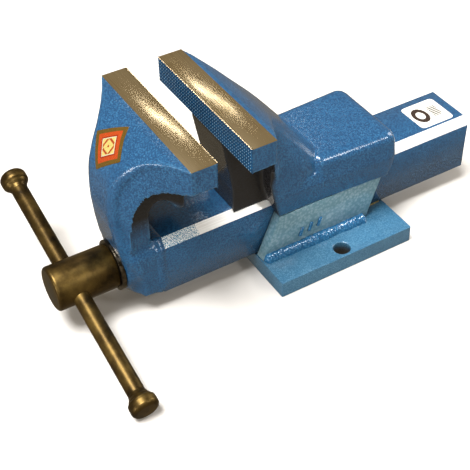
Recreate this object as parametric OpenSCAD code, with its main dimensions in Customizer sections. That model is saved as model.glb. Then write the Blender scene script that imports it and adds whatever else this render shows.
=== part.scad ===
// Forged steel bench vise on a welded base plate, standing on its base.
// X runs along the slide to the rear, Y across the jaws, Z up. The origin is
// the middle of the two bench bolts, on the underside of the base plate.

/* [Jaws] */
// Width of both jaws across the vise (mm)
jaw_width = 150; // [148:0.5:152]
// Opening between the jaw faces as drawn (mm)
jaw_gap = 28.5; // [5:0.5:60]
// Height of the jaw tops above the bench (mm)
jaw_top = 175.6; // [175:0.1:176]
// Depth of the machined top of each jaw (mm)
jaw_depth = 23; // [20:0.5:25]
// Height of the gripping face of each jaw (mm)
jaw_face = 23.6; // [22:0.2:24]
// Pitch of the crossed teeth on the gripping faces (mm)
tooth_pitch = 3; // [2.5:0.5:6]
// Depth of the teeth (mm)
tooth_depth = 0.9; // [0.4:0.1:1.2]

/* [Base] */
// Length of the base plate along the slide (mm)
plate_length = 139; // [136:1:150]
// Width of the base plate (mm)
plate_width = 146; // [142:1:170]
// Thickness of the base plate (mm)
plate_thick = 16.3; // [16.3:0.1:16.3]
// Diameter of the two bench bolt holes (mm)
bolt_hole = 15.5; // [13:0.1:17]
// Distance between the two bench bolts (mm)
bolt_spacing = 125.4; // [118:0.2:130]
// Leg of the long fillet welds on the plate (mm)
weld_leg = 6.7; // [4:0.1:9]

/* [Slide] */
// Width of the slide beam (mm)
beam_width = 59.2; // [58:0.1:59.2]
// Underside of the slide beam above the bench (mm)
beam_low = 18.4; // [18.2:0.1:19]
// Top of the slide beam above the bench (mm)
beam_high = 73.6; // [73:0.1:73.6]
// Wall of the slide beam (mm)
beam_wall = 8; // [6:0.5:8]
// Width of the machined edge chamfers on top of the beam (mm)
beam_chamfer = 7.2; // [4:0.1:8]
// Rear end of the beam behind the bench bolts (mm)
beam_rear = 164; // [120:1:200]

/* [Screw] */
// Height of the screw axis above the bench (mm)
screw_axis = 43; // [43:0.1:43]
// Diameter of the screw (mm)
screw_dia = 24; // [20:0.5:24]
// Running clearance between the screw and its bores (mm)
screw_play = 0.06; // [0.02:0.01:0.1]
// Diameter of the round screw head (mm)
head_dia = 39.4; // [36:0.2:40]
// Length of the round screw head (mm)
head_length = 55.2; // [50:0.2:60]

/* [Handle] */
// Diameter of the handle bar (mm)
bar_dia = 15; // [14:0.5:15.5]
// Length of the bar from head to head (mm)
bar_length = 246; // [180:1:246]
// Slope of the bar as drawn (degrees)
bar_slope = 14; // [0:0.1:14]
// Distance the bar is pushed off centre towards its lower end (mm)
bar_shift = 5; // [0:0.5:5]
// Diameter of the rounded heads on the bar (mm)
knob_dia = 24; // [21:0.5:24]

/* [Hidden] */
$fn = 64;
fixed_x = -101;
moving_x = fixed_x - jaw_gap;
jaw_low = jaw_top - jaw_face;
// Front end of the beam, where it meets the jaw forging.
beam_front = moving_x - 31.5;
boss_x = moving_x - 61.5;
washer_thick = 3.5;
head_front = boss_x - washer_thick - 0.3 - head_length;
bar_x = head_front + 19.7;
half = jaw_width / 2;
fit = 0.3;

// Which piece to show

blue = [0.15, 0.35, 0.6];
steel = [0.75, 0.74, 0.7];
dark = [0.23, 0.21, 0.15];
bronze = [0.7, 0.5, 0.25];

// Half width of the jaws at a distance behind the gripping face: full width
// along the jaw, then a flare down to the neck.
flare_u = [0, 23, 26, 29.5, 34.5, 38.5, 42.7, 49, 54, 58.3, 62, 66, 68.6];
flare_w = [75, 75, 69, 62, 54, 48, 43, 36.5, 32.8, 29.8, 27, 24.5, 22.8];
function flare(u) = half / 75 * lookup(u, [for (i = [0:len(flare_u) - 1]) [flare_u[i], flare_w[i]]]);

// Closed skin through a row of rings that all have the same number of points.
module loft(rings) {
  n = len(rings[0]);
  m = len(rings);
  polyhedron(
    points = [for (r = rings) each r],
    faces = concat(
      [[for (i = [0:n - 1]) i]],
      [[for (i = [n - 1:-1:0]) (m - 1) * n + i]],
      [for (k = [0:m - 2], i = [0:n - 1]) [k * n + i, (k + 1) * n + i, (k + 1) * n + (i + 1) % n]],
      [for (k = [0:m - 2], i = [0:n - 1]) [k * n + i, (k + 1) * n + (i + 1) % n, k * n + (i + 1) % n]]),
    convexity = 8);
}

// One ring across the vise: from an inner point a to an outer point b, both
// [distance from the jaw face, height], with half widths wa and wb and outer
// corners rounded ry across and rs along the ring. side is -1 for the moving
// jaw, which grows away from its face towards the front, and 1 for the fixed.
function ring(face, side, a, b, wa, wb, ry, rs) =
  let (l = norm(b - a), d = (b - a) / l)
  [for (p = concat(
      [[0, -wa]],
      [for (t = [0:15:90]) [l - rs + rs * sin(t), -(wb - ry + ry * cos(t))]],
      [for (t = [90:-15:0]) [l - rs + rs * sin(t), wb - ry + ry * cos(t)]],
      [[0, wa]]))
    [face + side * (a[0] + d[0] * p[0]), -side * p[1], a[1] + d[1] * p[0]]];

// Upright slab across the vise, from points [x, z], w wide each side of the middle.
module slab(points, w) {
  rotate([90, 0, 0]) linear_extrude(height = 2 * w, center = true) polygon(points);
}

// Section of the beam, grown by g, as points [y, z].
function beam_section(g) =
  let (w = beam_width / 2 + g, c = beam_chamfer + 0.4 * g, t = beam_high + g)
  [[-w, beam_low], [w, beam_low], [w, t - c], [w - c, t], [-w + c, t], [-w, t - c]];

// Bar along X with a section of points [y, z].
module along_x(x0, x1, points) {
  translate([x0, 0, 0]) rotate([90, 0, 90]) linear_extrude(height = x1 - x0) polygon(points);
}

module rod_x(x0, x1, r, y = 0, z = 43) {
  translate([x0, y, z]) rotate([0, 90, 0]) cylinder(h = x1 - x0, r = r);
}

// Field of small pyramids that stands on the plane x = 0 and points along +X.
module teeth() {
  ny = floor(jaw_width / tooth_pitch);
  nz = floor(jaw_face / tooth_pitch);
  wy = jaw_width / ny;
  wz = jaw_face / nz;
  intersection() {
    translate([0, 0, jaw_low]) linear_extrude(height = jaw_face)
      polygon(concat([[-1, half], [-1, -half]],
        [for (i = [0:ny - 1]) each [[0.02, -half + i * wy], [tooth_depth, -half + (i + 0.5) * wy]]],
        [[0.02, half]]));
    rotate([90, 0, 0]) linear_extrude(height = jaw_width, center = true)
      polygon(concat([[-1, jaw_top], [-1, jaw_low]],
        [for (i = [0:nz - 1]) each [[0.02, jaw_low + i * wz], [tooth_depth, jaw_low + (i + 0.5) * wz]]],
        [[0.02, jaw_top]]));
  }
}

module base_plate() {
  color(blue) difference() {
    translate([-plate_length / 2, -plate_width / 2, 0]) cube([plate_length, plate_width, plate_thick]);
    for (s = [-1, 1]) translate([0, s * bolt_spacing / 2, -1]) cylinder(h = 30, d = bolt_hole);
    for (x = [-24, 8]) translate([x, 0, -1]) {
      cylinder(h = 30, d = 9);
      cylinder(h = 10.5, d = 14.4);
    }
  }
}

module base_welds() {
  color(blue) for (s = [-1, 1]) {
    // long bead along the outside of each side plate
    along_x(-67.5, 41, [[s * 40, plate_thick], [s * (40 + weld_leg), plate_thick],
      [s * (40 + 0.6 * weld_leg), plate_thick + 0.62 * weld_leg], [s * 40, plate_thick + weld_leg]]);
    // short bead across the rear edge
    translate([0, s * 35.1, 0]) slab([[42.6, plate_thick], [47.5, plate_thick], [43.9, 20.5]], 4.9);
  }
}

// Upright plate between the body and the base plate. s is -1 near, 1 far.
module side_plate(s) {
  color(blue) {
    translate([0, s * 35.1, 0])
      slab([[-68.5, plate_thick], [42.5, plate_thick], [57, 59.4], [-51.5, 59.4]], 4.9);
    if (s < 0) for (i = [0:2])
      translate([-29 + 9.5 * i, -40.7, 33 + 1.6 * i]) rotate([0, 20, 0]) cube([2.4, 1.4, 9], center = true);
  }
}
module side_plate_near() { side_plate(-1); }
module side_plate_far() { side_plate(1); }

// Body around the slide, as rings along it: a low front part under the neck,
// then the taller rounded block.
module body_block() {
  // [x, top, draw-in below, draw-in above, corner radius, half width at the parting line]
  list = [[-61, 91, 0, 0, 1, 41.6], [-14.4, 91, 0, 0, 1, 41.6], [-14, 99.8, 0, 4.8, 9, 41.6],
          [-12.5, 102.8, 0, 1.8, 9, 41.7], [-9, 104.6, 0, 0, 9, 41.9], [20, 104.6, 0, 0, 9, 43.4],
          [60, 104.6, 0, 0, 9, 45.5], [65, 103.4, 1.2, 1.2, 9, 45.8], [68, 101, 3.6, 3.6, 9, 45.9],
          [69.6, 96.1, 8.5, 8.5, 9, 46]];
  loft([for (e = list) let (x = e[0], t = e[1] - e[4], i = e[2], r = e[4], w = e[5],
      c = w - 1.6 - e[3] - r)
    [for (p = concat([[-(w - 2.4 - i), 59.4], [-(w - i), 81]],
        [for (a = [0:15:90]) [-(c + r * cos(a)), t + r * sin(a)]],
        [for (a = [90:-15:0]) [c + r * cos(a), t + r * sin(a)]],
        [[w - i, 81], [w - 2.4 - i, 59.4]])) [x, -p[0], p[1]]]]);
}

// Stations of the neck behind the fixed jaw:
// [inner point, outer point, rounding across, rounding along]
neck = [
  [[23, 152], [23, 175.6], 0.8, 0.8], [[26.5, 150], [27, 174.6], 2.5, 2.5],
  [[30, 147.2], [32, 172], 5, 5], [[33, 144], [38, 168.2], 8, 8],
  [[35.5, 140], [44.5, 163], 12, 13], [[37.5, 135], [51, 156.8], 15, 17],
  [[39, 128], [58, 149.8], 17, 21], [[40, 117], [65, 142], 19, 25],
  [[46, 98], [73, 132.5], 20, 27], [[58, 88], [81, 122.6], 21, 27],
  [[70, 82], [88, 114], 21, 25], [[82, 78], [95, 104.2], 20, 20],
  [[93, 78], [101, 94], 12, 12]];
function neck_half(u) = max(flare(u), u < 84 ? 41.1 : 41.1 - 0.35 * (u - 84));

module fixed_body() {
  color(blue) difference() {
    union() {
      translate([fixed_x + tooth_depth, -half, jaw_low])
        cube([jaw_depth - tooth_depth, jaw_width, jaw_face]);
      translate([fixed_x + tooth_depth, 0, 0]) mirror([1, 0, 0]) teeth();
      loft([for (s = neck)
        ring(fixed_x, 1, s[0], s[1], neck_half(s[0][0]), neck_half(s[1][0]), s[2], s[3])]);
      // body with its slanted front and rear corners
      difference() {
        body_block();
        slab([[-70, 50], [-51.5, 50], [-51.5, 59.4], [-56, 74], [-59.5, 89], [-61, 98], [-70, 98]], 80);
        slab([[57, 50], [80, 50], [80, 82], [69.6, 80]], 80);
      }
      // front of the neck, carried down to the body
      slab([[-61.4, 119], [-60.9, 98], [-59.8, 90], [-59.3, 88], [-45, 85], [-45, 112]], 41.1);
      // narrow web under the jaw
      slab([[fixed_x + 3.5, 153], [fixed_x + 3.5, 146], [fixed_x + 6.5, 130], [fixed_x + 10, 112],
        [fixed_x + 12, 95], [fixed_x + 12, 70], [fixed_x + 60, 70], [fixed_x + 60, 130],
        [fixed_x + 30, 158]], 26);
    }
    along_x(-120, 120, beam_section(fit));
  }
}

module screw_nut() {
  color(bronze) difference() {
    translate([-40, -19.5, plate_thick]) cube([64, 39, 44]);
    rod_x(-50, 50, screw_dia / 2 + screw_play);
    for (x = [-24, 8]) translate([x, 0, 10]) cylinder(h = 19, d = 8);
  }
}

module nut_screws() {
  color(dark) for (x = [-24, 8]) translate([x, 0, 0]) difference() {
    union() {
      translate([0, 0, 1.5]) cylinder(h = 8, d = 13);
      translate([0, 0, 9.5]) cylinder(h = 16.5, d = 8);
    }
    translate([0, 0, -1]) cylinder(h = 6.5, d = 7, $fn = 6);
  }
}

module wear_strips() {
  color(bronze) for (s = [-1, 1]) translate([-66, s * 25.4 - 3.6, plate_thick]) cube([132, 7.2, 1.8]);
}

// Stations of the curved back of the moving jaw:
// [inner point, outer point, rounding]
belly = [
  [[23, 152], [23, 175.6], 0.8], [[26.3, 149.6], [29.5, 174.7], 2], [[30.2, 147.9], [36.5, 172.7], 4],
  [[33.6, 146], [43, 169.9], 5.5], [[37.4, 143.4], [49, 165.2], 7], [[41.5, 139.6], [54.2, 160], 8],
  [[44.4, 136.3], [58.5, 154.8], 8.5], [[47.2, 132], [62, 149.4], 9], [[49.7, 126.3], [64.8, 143.6], 9],
  [[52, 119.8], [66.5, 137], 9], [[53.6, 114], [67.7, 129.5], 9], [[54.9, 107], [68.5, 120], 9],
  [[55.6, 100], [68.6, 109.5], 9], [[56, 91], [67.9, 97.5], 9], [[56.1, 80], [66.3, 85], 8],
  [[56, 68], [64.4, 72], 7.5], [[55, 56], [62.4, 58], 7], [[53, 46], [60.8, 45], 7],
  [[50, 36], [57, 33], 7]];
// Half widths at the inner and outer points: they follow the flare, and draw
// in below the screw to end inside the foot.
function belly_in(p) = min(flare(p[0]), p[1] < 60 ? 30.6 - 0.7 * max(0, 46 - p[1]) : 99);
function belly_out(p) = min(flare(p[0]), p[1] < 60 ? 26.5 - 0.35 * (58 - p[1]) : 99);

module moving_jaw() {
  m = moving_x;
  color(blue) difference() {
    union() {
      translate([m - jaw_depth, -half, jaw_low]) cube([jaw_depth - tooth_depth, jaw_width, jaw_face]);
      translate([m - tooth_depth, 0, 0]) teeth();
      loft([for (s = belly)
        ring(m, -1, s[0], s[1], belly_in(s[0]), belly_out(s[1]), s[2], s[2])]);
      // web inside the curve, with the small arch over the beam
      slab([for (p = [[3.5, 156], [20, 160], [34, 158], [46, 150], [54, 142], [58, 130], [59.5, 116],
          [59.5, 98], [59, 80], [57.5, 62], [36, 62], [36.4, 84], [36.6, 98], [35.4, 105.5],
          [32.4, 110.8], [27.5, 113.2], [22.5, 112], [19, 109], [15.5, 105.4], [12.6, 100.6],
          [9.4, 97.6], [6, 97], [3.5, 97.4]]) [m - p[0], p[1]]], 24);
      // stub with the section of the beam, and the rounded foot below it
      along_x(m - 50, beam_front, beam_section(0));
      translate([0, 0, beam_low]) linear_extrude(height = 19.4)
        polygon([for (p = [[31.5, -29.6], [42.5, -28.4], [49.5, -25.6], [54.5, -20], [58, -11.5], [59.4, -4],
          [59.4, 4], [58, 11.5], [54.5, 20], [49.5, 25.6], [42.5, 28.4], [31.5, 29.6]]) [m - p[0], p[1]]]);
      // fill between the stub and the lower end of the curve
      intersection() {
        slab([[m - 56, 73.6], [m - 40, 73.6], [m - 40, 34], [m - 51, 37], [m - 54, 46], [m - 55.6, 62]], 40);
        along_x(m - 60, m - 30, [[-24, 34], [24, 34], [29.5, 46], [29.5, 66.4], [22.4, 73.6],
          [-22.4, 73.6], [-29.5, 66.4], [-29.5, 46]]);
      }
      rod_x(boss_x, m - 54, 24);
    }
    rod_x(boss_x - 1, m, 15);
    // face turned flat for the thrust washer
    rod_x(boss_x - 20, boss_x, 23.6);
  }
}

module slide_beam() {
  w = beam_width / 2 - beam_wall;
  color(blue) difference() {
    along_x(beam_front, beam_rear, beam_section(0));
    along_x(beam_front - 1, beam_rear + 1, [[-w, 0], [w, 0], [w, beam_high - 13], [w - 4, beam_high - 9],
      [-w + 4, beam_high - 9], [-w, beam_high - 13]]);
  }
}

module beam_weld() {
  color(blue) intersection() {
    difference() {
      along_x(beam_front - 4, beam_front + 4, beam_section(1.2));
      along_x(beam_front - 5, beam_front + 5, beam_section(0));
    }
    translate([beam_front - 5, -40, beam_low + 1]) cube([10, 80, 80]);
  }
}

module screw_bush() {
  color(bronze) difference() {
    rod_x(boss_x, beam_front, 15);
    rod_x(boss_x - 1, beam_front + 1, screw_dia / 2 + screw_play);
  }
}

module thrust_washer() {
  color(dark) difference() {
    rod_x(boss_x - washer_thick, boss_x, 22.6);
    rod_x(boss_x - 10, boss_x + 1, screw_dia / 2 + 0.3);
  }
}

module retaining_collar() {
  color(dark) difference() {
    rod_x(beam_front + 0.4, beam_front + 12.4, 18);
    rod_x(beam_front, beam_front + 13, screw_dia / 2);
    rod_z(0);
  }
}

// Cross bore of the collar, shrunk by g.
module rod_z(g) {
  translate([beam_front + 6.4, 0, screw_axis - 25]) cylinder(h = 50, d = 5 - g);
}

module collar_pin() {
  color(steel) intersection() {
    rod_z(0);
    rod_x(beam_front, beam_front + 13, 18);
  }
}

module front_label() {
  // thin foil square set on its corner, wrapped over the curve under the jaw
  line = [[29.5, 174.7], [36.5, 172.7], [43, 169.9], [49, 165.2], [54.2, 160], [58.5, 154.8],
          [62, 149.4], [64.8, 143.6], [66.5, 137]];
  color([0.85, 0.45, 0.2]) intersection() {
    slab(concat([for (p = line) [moving_x - p[0] - 0.02, p[1] + 0.02]],
      [for (i = [len(line) - 1:-1:0]) [moving_x - line[i][0] - 0.26, line[i][1] + 0.24]]), 40);
    translate([moving_x - 52, 0.7, 162.2]) rotate([0, -45, 0]) rotate([0, 0, 45])
      cube([31, 31, 40], center = true);
  }
}

module rear_label() {
  color([0.95, 0.95, 0.95]) translate([118, -20, beam_high]) cube([37, 35, 0.25]);
}

module screw() {
  r = screw_dia / 2;
  h = head_dia / 2;
  color(dark) difference() {
    translate([head_front, 0, screw_axis]) rotate([0, 90, 0]) rotate_extrude()
      polygon(concat([[0, 0]], [for (t = [0:15:90]) [h - 3 + 3 * sin(t), 3 - 3 * cos(t)]],
        [[h, head_length - 1], [h - 1, head_length], [r, head_length], [r, 378.5], [r - 1.5, 380], [0, 380]]));
    translate([bar_x, 0, screw_axis]) rotate([bar_slope, 0, 0]) rotate([90, 0, 0])
      cylinder(h = 60, d = bar_dia + 0.1, center = true);
    rod_z(0);
  }
}

// Places things along the bar: +Z of the child runs up the bar to the far side.
module on_bar() {
  translate([bar_x, 0, screw_axis]) rotate([bar_slope, 0, 0]) rotate([-90, 0, 0])
    translate([0, 0, -bar_shift]) children();
}

module handle_bar() {
  color(dark) on_bar() cylinder(h = bar_length, d = bar_dia, center = true);
}

// Rounded head at the end of the bar: a short flare, then a thick domed disc.
module knob() {
  k = knob_dia / 2;
  b = bar_dia / 2;
  rotate_extrude() polygon(concat(
    [[0, 0], [b, 0], [b, -12], [b + 0.8, -9], [b + 2.2, -7], [k - 1.6, -5.6], [k - 0.3, -4.2],
     [k, -2]], [for (t = [0:15:90]) [k - 4 + 4 * cos(t), 1.6 + 4 * sin(t)]], [[0, 5.9]]));
}

module handle_knob_lower() {
  color(dark) on_bar() translate([0, 0, -bar_length / 2]) mirror([0, 0, 1]) knob();
}
module handle_knob_upper() {
  color(dark) on_bar() translate([0, 0, bar_length / 2]) knob();
}

base_plate();
base_welds();
side_plate_near();
side_plate_far();
fixed_body();
screw_nut();
nut_screws();
wear_strips();
moving_jaw();
slide_beam();
beam_weld();
screw_bush();
thrust_washer();
retaining_collar();
collar_pin();
front_label();
rear_label();
screw();
handle_bar();
handle_knob_lower();
handle_knob_upper();
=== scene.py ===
"""Looks of a forged bench vise: hammertone enamel over rough forgings and plate, bare ground jaw
tops and slide edges, an oily blackened screw and bar, weld beads, and two stick-on labels."""
import math

import bmesh
import bpy
import numpy as np
from mathutils import Matrix, Quaternion, Vector, noise
from mathutils.bvhtree import BVHTree


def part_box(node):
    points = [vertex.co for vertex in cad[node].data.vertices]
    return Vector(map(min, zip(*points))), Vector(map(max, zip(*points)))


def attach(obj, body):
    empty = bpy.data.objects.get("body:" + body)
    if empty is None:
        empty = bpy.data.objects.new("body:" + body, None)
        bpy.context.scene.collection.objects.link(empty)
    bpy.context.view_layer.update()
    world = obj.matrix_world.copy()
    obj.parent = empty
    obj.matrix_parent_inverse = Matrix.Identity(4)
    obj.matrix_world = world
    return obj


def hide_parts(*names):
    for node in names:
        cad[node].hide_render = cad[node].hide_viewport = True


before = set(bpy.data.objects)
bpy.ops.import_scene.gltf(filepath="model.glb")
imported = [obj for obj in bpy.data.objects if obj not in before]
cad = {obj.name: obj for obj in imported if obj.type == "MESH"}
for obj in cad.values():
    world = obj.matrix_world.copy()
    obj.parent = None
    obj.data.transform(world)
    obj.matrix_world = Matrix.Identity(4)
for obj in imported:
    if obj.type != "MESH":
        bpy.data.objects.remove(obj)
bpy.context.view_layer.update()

MM = 0.001
# points of a CAD mesh nearer to each other than this are one point
WELD_GAP = 0.002 * MM

# ---------------------------------------------------------------- small helpers


def colour(code):
    """An sRGB hex colour as linear red, green, blue and alpha."""
    parts = [int(code[i:i + 2], 16) / 255 for i in (0, 2, 4)]
    return [c / 12.92 if c <= 0.04045 else ((c + 0.055) / 1.055) ** 2.4 for c in parts] + [1.0]


def add(mat, kind, inputs=None, stops=None, **settings):
    """Adds one node: settings are its properties, inputs its socket values or what feeds them."""
    n = mat.node_tree.nodes.new(kind)
    for key, value in settings.items():
        setattr(n, key, value)
    for i, (place, code) in enumerate(stops or []):
        stop = n.color_ramp.elements[i] if i < 2 else n.color_ramp.elements.new(place)
        stop.position = place
        stop.color = colour(code)
    for key, value in (inputs or {}).items():
        if isinstance(value, bpy.types.NodeSocket):
            mat.node_tree.links.new(value, n.inputs[key])
        else:
            n.inputs[key].default_value = value
    return n


def finish_named(name, **shader):
    """A new material and its shader, with the given socket values."""
    mat = bpy.data.materials.new(name)
    mat.use_nodes = True
    mat.node_tree.nodes.clear()
    skin = add(mat, "ShaderNodeBsdfPrincipled", {k.replace("_", " "): v for k, v in shader.items()})
    add(mat, "ShaderNodeOutputMaterial", {"Surface": skin.outputs[0]})
    return mat, skin


def feed(mat, skin, **sockets):
    """Links pattern outputs to the shader's sockets."""
    for key, value in sockets.items():
        mat.node_tree.links.new(value, skin.inputs[key.replace("_", " ")])


# ---------------------------------------------------------------- finishes


def hammertone(name, light, mid, dark, cell_mm, depth_mm=0.07, rough=0.27, speck=0.55):
    """Hammer-finish enamel sprayed over steel. The aluminium flake pulls together into small cells,
    pale in the middle and deep blue in the grooves, under a glossy skin. Deep hollows and marked
    places get painted shade, near-black brown. speck is how strongly the cells show, depth_mm how deep they
    are."""
    mat, skin = finish_named(name, Metallic=0.05, Specular_IOR_Level=0.25, Coat_Weight=0.8,
                             Coat_Roughness=0.07)
    place = add(mat, "ShaderNodeTexCoord").outputs["Object"]
    # the cells run into each other, so their grid is bent by a slower noise
    drift = add(mat, "ShaderNodeTexNoise", {"Vector": place, "Scale": 1 / (4 * MM), "Detail": 2.0})
    bend = add(mat, "ShaderNodeVectorMath", {0: drift.outputs["Color"], "Scale": 1.6 * MM},
               operation="SCALE")
    bent = add(mat, "ShaderNodeVectorMath", {0: place, 1: bend.outputs[0]}, operation="ADD").outputs[0]
    cells = add(mat, "ShaderNodeTexVoronoi",
                {"Vector": bent, "Scale": 1 / (cell_mm * MM), "Smoothness": 0.6}, feature="SMOOTH_F1")
    flake = add(mat, "ShaderNodeValToRGB", {0: cells.outputs["Distance"]},
                stops=[(0.10, light), (0.62, dark), (0.36, mid)])
    calm = add(mat, "ShaderNodeMix", {0: speck, 6: colour(mid), 7: flake.outputs[0]}, data_type="RGBA")
    # slow change of the coat's thickness over the piece, a few centimetres across
    cloud = add(mat, "ShaderNodeTexNoise", {"Vector": place, "Scale": 1 / (28 * MM), "Detail": 3.0})
    thick = add(mat, "ShaderNodeMapRange", {0: cloud.outputs[0], 1: 0.35, 2: 0.68, 3: 0.0, 4: 0.3})
    body = add(mat, "ShaderNodeMix", {0: thick.outputs[0], 6: calm.outputs[2], 7: colour(dark)},
               data_type="RGBA")
    # outer corners are painted paler: a painted highlight along the edges, with the coat also worn thin
    # there
    ridge = add(mat, "ShaderNodeAttribute", attribute_name="ridge")
    thin_coat_and_sheen = add(mat, "ShaderNodeMath", {0: ridge.outputs["Fac"], 1: 0.5}, operation="MULTIPLY")
    worn_and_sheen = add(mat, "ShaderNodeMix", {0: thin_coat_and_sheen.outputs[0], 6: body.outputs[2], 7: colour(light)},
               data_type="RGBA")
    # painted shade: deep hollows, felt over 60 mm, are painted nearly black brown and made matt
    hollow = add(mat, "ShaderNodeAmbientOcclusion", {"Distance": 60 * MM}, samples=8)
    hollow_shade = add(mat, "ShaderNodeMapRange", {0: hollow.outputs["AO"], 1: 0.16, 2: 0.47, 3: 0.94, 4: 0.0},
                interpolation_type="SMOOTHSTEP")
    # so are the places marked for painted shade
    marked_shade = add(mat, "ShaderNodeAttribute", attribute_name="shade_paint")
    shade_mask = add(mat, "ShaderNodeMath", {0: hollow_shade.outputs[0], 1: marked_shade.outputs["Fac"]}, operation="MAXIMUM")
    shaded_colour = add(mat, "ShaderNodeMix", {0: shade_mask.outputs[0], 6: worn_and_sheen.outputs[2], 7: colour("17110b")},
                data_type="RGBA")
    gloss = add(mat, "ShaderNodeMapRange", {0: cells.outputs["Distance"], 1: 0.1, 2: 0.7,
                                            3: rough - 0.05, 4: rough + 0.10})
    matt = add(mat, "ShaderNodeMath", {0: shade_mask.outputs[0], 1: 0.75}, operation="MULTIPLY")
    skin_gloss = add(mat, "ShaderNodeMath", {0: gloss.outputs[0], 1: matt.outputs[0]}, operation="MAXIMUM")
    sunk = add(mat, "ShaderNodeMath", {0: cells.outputs["Distance"], 1: -1.0}, operation="MULTIPLY")
    bump = add(mat, "ShaderNodeBump", {"Height": sunk.outputs[0], "Distance": depth_mm * MM,
                                       "Strength": 0.9})
    # orange peel between the cells, about 9 mm across
    peel = add(mat, "ShaderNodeTexNoise", {"Vector": place, "Scale": 1 / (9 * MM), "Detail": 2.0})
    waves = add(mat, "ShaderNodeBump", {"Height": peel.outputs[0], "Distance": 0.35 * MM,
                                        "Strength": 0.6, "Normal": bump.outputs[0]})
    feed(mat, skin, Base_Color=shaded_colour.outputs[2], Roughness=skin_gloss.outputs[0], Normal=waves.outputs[0],
         Coat_Normal=bump.outputs[0])
    return mat


def ground(name, pale, deep, rough, line_mm=0.5):
    """Bare steel from the surface grinder: straight fine lines across the vise, a slow warm bloom
    of oil, and a soft bright sweep across it. Real lines are finer than 0.5 mm and would not show."""
    mat, skin = finish_named(name, Metallic=1.0)
    place = add(mat, "ShaderNodeTexCoord").outputs["Object"]
    fine, long = 1 / (line_mm * MM), 1 / (55 * MM)
    lines = add(mat, "ShaderNodeMapping", {"Vector": place, "Scale": (fine, long, fine)})
    grain = add(mat, "ShaderNodeTexNoise", {"Vector": lines.outputs[0], "Scale": 1.0, "Detail": 4.0})
    bloom = add(mat, "ShaderNodeTexNoise", {"Vector": place, "Scale": 1 / (34 * MM), "Detail": 2.0})
    both = add(mat, "ShaderNodeMath", {0: grain.outputs[0], 1: bloom.outputs[0]}, operation="ADD")
    tone = add(mat, "ShaderNodeValToRGB", {0: both.outputs[0]}, stops=[(0.72, deep), (1.22, pale)])
    half = add(mat, "ShaderNodeMapRange", {0: both.outputs[0], 1: 0.7, 2: 1.3, 3: rough + 0.07, 4: rough})
    bump = add(mat, "ShaderNodeBump", {"Height": grain.outputs[0], "Distance": 0.004 * MM, "Strength": 0.1})
    feed(mat, skin, Base_Color=tone.outputs[0], Roughness=half.outputs[0], Normal=bump.outputs[0])
    return mat


def milled_edge():
    """Edge of the slide milled bare after painting, with straight cutter lines. Its near-white colour,
    only partly metallic, is a painted bright reflection on the bare steel. Its first 40 mm still carry
    broken blue overspray."""
    mat, skin = finish_named("milled_slide_edge")
    place = add(mat, "ShaderNodeTexCoord").outputs["Object"]
    fine, long = 1 / (0.7 * MM), 1 / (60 * MM)
    lines = add(mat, "ShaderNodeMapping", {"Vector": place, "Scale": (long, fine, fine)})
    grain = add(mat, "ShaderNodeTexNoise", {"Vector": lines.outputs[0], "Scale": 1.0, "Detail": 3.0})
    # near white and only partly metallic below: a painted reflection, so that the bare strip shows white
    # under any light
    tone = add(mat, "ShaderNodeValToRGB", {0: grain.outputs[0]}, stops=[(0.3, "e2e1dd"), (0.7, "ffffff")])
    spray = add(mat, "ShaderNodeTexNoise", {"Vector": place, "Scale": 1 / (0.85 * MM), "Detail": 2.0})
    split = add(mat, "ShaderNodeSeparateXYZ", {0: place})
    fade = add(mat, "ShaderNodeMapRange", {0: split.outputs[0], 1: beam_lo.x + 34 * MM,
                                           2: beam_lo.x + 46 * MM, 3: 0.50, 4: 0.95})
    painted = add(mat, "ShaderNodeMath", {0: spray.outputs[0], 1: fade.outputs[0]},
                  operation="GREATER_THAN")
    shown = add(mat, "ShaderNodeMix", {0: painted.outputs[0], 6: tone.outputs[0],
                                       7: colour("4a83a1")}, data_type="RGBA")
    bare = add(mat, "ShaderNodeMath", {0: 1.0, 1: painted.outputs[0]}, operation="SUBTRACT")
    metal = add(mat, "ShaderNodeMath", {0: bare.outputs[0], 1: 0.45}, operation="MULTIPLY")
    gloss = add(mat, "ShaderNodeMapRange", {0: grain.outputs[0], 1: 0.3, 2: 0.7, 3: 0.28, 4: 0.42})
    bump = add(mat, "ShaderNodeBump", {"Height": spray.outputs[0], "Distance": 0.08 * MM, "Strength": 0.5})
    feed(mat, skin, Base_Color=shown.outputs[2], Metallic=metal.outputs[0],
         Roughness=gloss.outputs[0], Normal=bump.outputs[0])
    return mat


def blackened(name, brown, black, shine, rough=0.34):
    """Blackened turned steel with a film of oil: olive brown where the oil is thick, near black
    where it is thin, with rubbed streaks round it."""
    mat, skin = finish_named(name, Metallic=0.85)
    place = add(mat, "ShaderNodeTexCoord").outputs["Object"]
    smear = add(mat, "ShaderNodeTexNoise", {"Vector": place, "Scale": 1 / (22 * MM), "Detail": 4.0,
                                            "Roughness": 0.55})
    fine = add(mat, "ShaderNodeTexNoise", {"Vector": place, "Scale": 1 / (1.6 * MM), "Detail": 3.0})
    faint = add(mat, "ShaderNodeMapRange", {0: fine.outputs[0], 1: 0.3, 2: 0.7, 3: 0.95, 4: 1.05})
    mixed = add(mat, "ShaderNodeMath", {0: smear.outputs[0], 1: faint.outputs[0]}, operation="MULTIPLY")
    tone = add(mat, "ShaderNodeValToRGB", {0: mixed.outputs[0]},
               stops=[(0.34, black), (0.68, shine), (0.50, brown)])
    gloss = add(mat, "ShaderNodeMapRange", {0: mixed.outputs[0], 1: 0.3, 2: 0.7,
                                            3: rough - 0.08, 4: rough + 0.12})
    bump = add(mat, "ShaderNodeBump", {"Height": fine.outputs[0], "Distance": 0.03 * MM, "Strength": 0.4})
    feed(mat, skin, Base_Color=tone.outputs[0], Roughness=gloss.outputs[0], Normal=bump.outputs[0])
    return mat


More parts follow.
